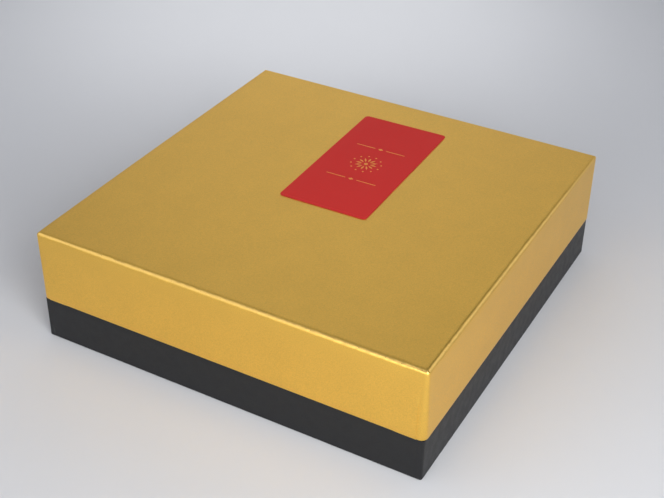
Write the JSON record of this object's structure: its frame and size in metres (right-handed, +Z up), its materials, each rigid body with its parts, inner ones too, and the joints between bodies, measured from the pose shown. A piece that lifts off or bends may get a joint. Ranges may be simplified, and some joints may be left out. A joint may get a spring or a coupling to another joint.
{
  "type": "gift box",
  "caption": "Square rigid gift box for confectionery: gold paper lid that slips over a neck in a black base, with card dividers and a pad inside and a plain label on top.",
  "frame": {"origin": "middle of the square underside, on the surface that the box stands on", "axes": "+Z up through the lid; X and Y along the box's sides, -Y towards the front"},
  "size_m": [0.2112, 0.2112, 0.0628],
  "materials": {
    "gold_paper": "metallised gold paper with a fine satin grain",
    "black_paper": "uncoated matte black paper",
    "greyboard": "raw recycled greyboard",
    "kraft_tape": "gummed kraft paper tape",
    "liner_paper": "smooth off-white paper",
    "divider_card": "smooth ivory card",
    "pad_wadding": "soft embossed paper wadding",
    "label_paper": "smooth red label paper"
  },
  "bodies": {
    "base": {"base_board": "greyboard", "base_corner_stay_rear_right": "kraft_tape", "base_corner_stay_rear_left": "kraft_tape", "base_corner_stay_front_left": "kraft_tape", "base_corner_stay_front_right": "kraft_tape", "base_wrap": "black_paper", "base_underside_sheet": "black_paper", "base_floor_liner": "liner_paper", "neck_board": "greyboard", "neck_seam_tape": "kraft_tape", "neck_cover": "black_paper"},
    "divider_grid": {"divider_across_1": "divider_card", "divider_across_2": "divider_card", "divider_across_3": "divider_card", "divider_deep_1": "divider_card", "divider_deep_2": "divider_card", "divider_deep_3": "divider_card"},
    "pad": {"cushion_pad": "pad_wadding"},
    "lid": {"lid_board": "greyboard", "lid_corner_stay_rear_right": "kraft_tape", "lid_corner_stay_rear_left": "kraft_tape", "lid_corner_stay_front_left": "kraft_tape", "lid_corner_stay_front_right": "kraft_tape", "lid_wrap": "gold_paper", "lid_liner": "liner_paper", "lid_label": "label_paper"}
  },
  "joints": [
    {"name": "divider_lift", "type": "slide", "parent": "base", "child": "divider_grid", "axis": [0, 0, 1], "range_m": [0, 0.07]},
    {"name": "pad_lift", "type": "slide", "parent": "divider_grid", "child": "pad", "axis": [0, 0, 1], "range_m": [0, 0.06]},
    {"name": "lid_lift", "type": "slide", "parent": "pad", "child": "lid", "axis": [0, 0, 1], "range_m": [0, 0.08]}
  ]
}
